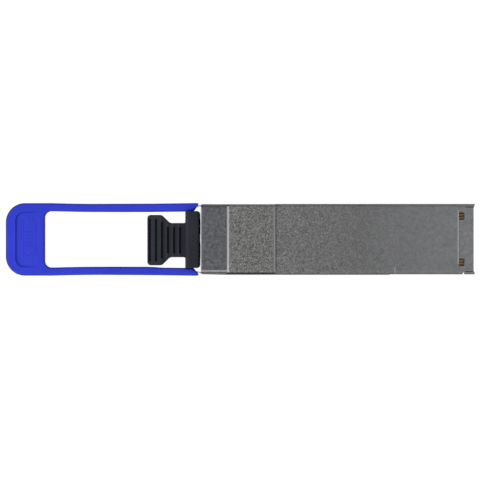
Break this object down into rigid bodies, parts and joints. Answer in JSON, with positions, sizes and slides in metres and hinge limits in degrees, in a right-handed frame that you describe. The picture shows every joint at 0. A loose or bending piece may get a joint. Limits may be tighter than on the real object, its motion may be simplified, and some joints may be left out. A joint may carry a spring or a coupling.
{
  "type": "pluggable optical transceiver module",
  "caption": "Slim pluggable optical transceiver: two-piece metal housing, duplex fibre port with dust plug, side latch arms, blue pull tab and card edge.",
  "frame": {"origin": "centre of the bottom face, in the plane of the insertion shoulder where the raised front block ends", "axes": "+X from the optical ports to the card edge, +Y to the left looking along +X, +Z from the bottom face to the heat-sink face"},
  "size_m": [0.1224, 0.019, 0.0088],
  "materials": {
    "plated_zinc": "fine blasted, dull nickel plating",
    "screw_steel": "satin",
    "label_foil": "blank matte foil label",
    "port_plastic": "moulded, fine grain",
    "sheet_steel": "stamped, satin",
    "ferrule_ceramic": "ground zirconia",
    "gold_plate": "gold plated, satin",
    "flex_film": "amber film",
    "thermal_pad": "soft gap filler",
    "board_laminate": "solder mask over laminate, gold contacts",
    "chip_resin": "moulded resin",
    "capacitor_ceramic": "fired ceramic",
    "absorber_rubber": "filled elastomer sheet",
    "spring_wire": "drawn wire",
    "tab_plastic": "moulded blue, satin",
    "plug_rubber": "moulded black elastomer, matte"
  },
  "bodies": {
    "housing": {"top_shell": "plated_zinc", "bottom_shell": "plated_zinc", "shell_screw_front_left": "screw_steel", "shell_screw_front_right": "screw_steel", "shell_screw_rear_left": "screw_steel", "shell_screw_rear_right": "screw_steel", "bottom_label": "label_foil", "lc_receptacle": "port_plastic", "optics_clamp": "sheet_steel", "tosa_nosepiece": "sheet_steel", "tosa_sleeve": "ferrule_ceramic", "tosa_body": "gold_plate", "tosa_flex": "flex_film", "tosa_thermal_pad": "thermal_pad", "rosa_nosepiece": "sheet_steel", "rosa_sleeve": "ferrule_ceramic", "rosa_body": "sheet_steel", "rosa_flex": "flex_film", "rosa_thermal_pad": "thermal_pad", "main_board": "board_laminate", "transmit_driver": "chip_resin", "receive_amplifier": "chip_resin", "microcontroller": "chip_resin", "power_inductor": "chip_resin", "clock_crystal": "sheet_steel", "capacitor_1": "capacitor_ceramic", "capacitor_2": "capacitor_ceramic", "capacitor_3": "capacitor_ceramic", "capacitor_4": "capacitor_ceramic", "transmit_thermal_pad": "thermal_pad", "receive_thermal_pad": "thermal_pad", "absorber_sheet": "absorber_rubber", "return_spring_left": "spring_wire", "return_spring_right": "spring_wire"},
    "latch": {"pull_tab": "tab_plastic", "latch_arm_left": "sheet_steel", "latch_arm_right": "sheet_steel"},
    "plug": {"dust_plug": "plug_rubber"}
  },
  "joints": [
    {"name": "latch_slide", "type": "slide", "parent": "housing", "child": "latch", "axis": [-1, 0, 0], "range_m": [0, 0.0025], "stiffness_N_per_m": 900, "springref_m": -0.002, "deforming": ["return_spring_left", "return_spring_right"]},
    {"name": "dust_plug_pull", "type": "slide", "parent": "housing", "child": "plug", "axis": [-1, 0, 0], "range_m": [0, 0.012]}
  ]
}
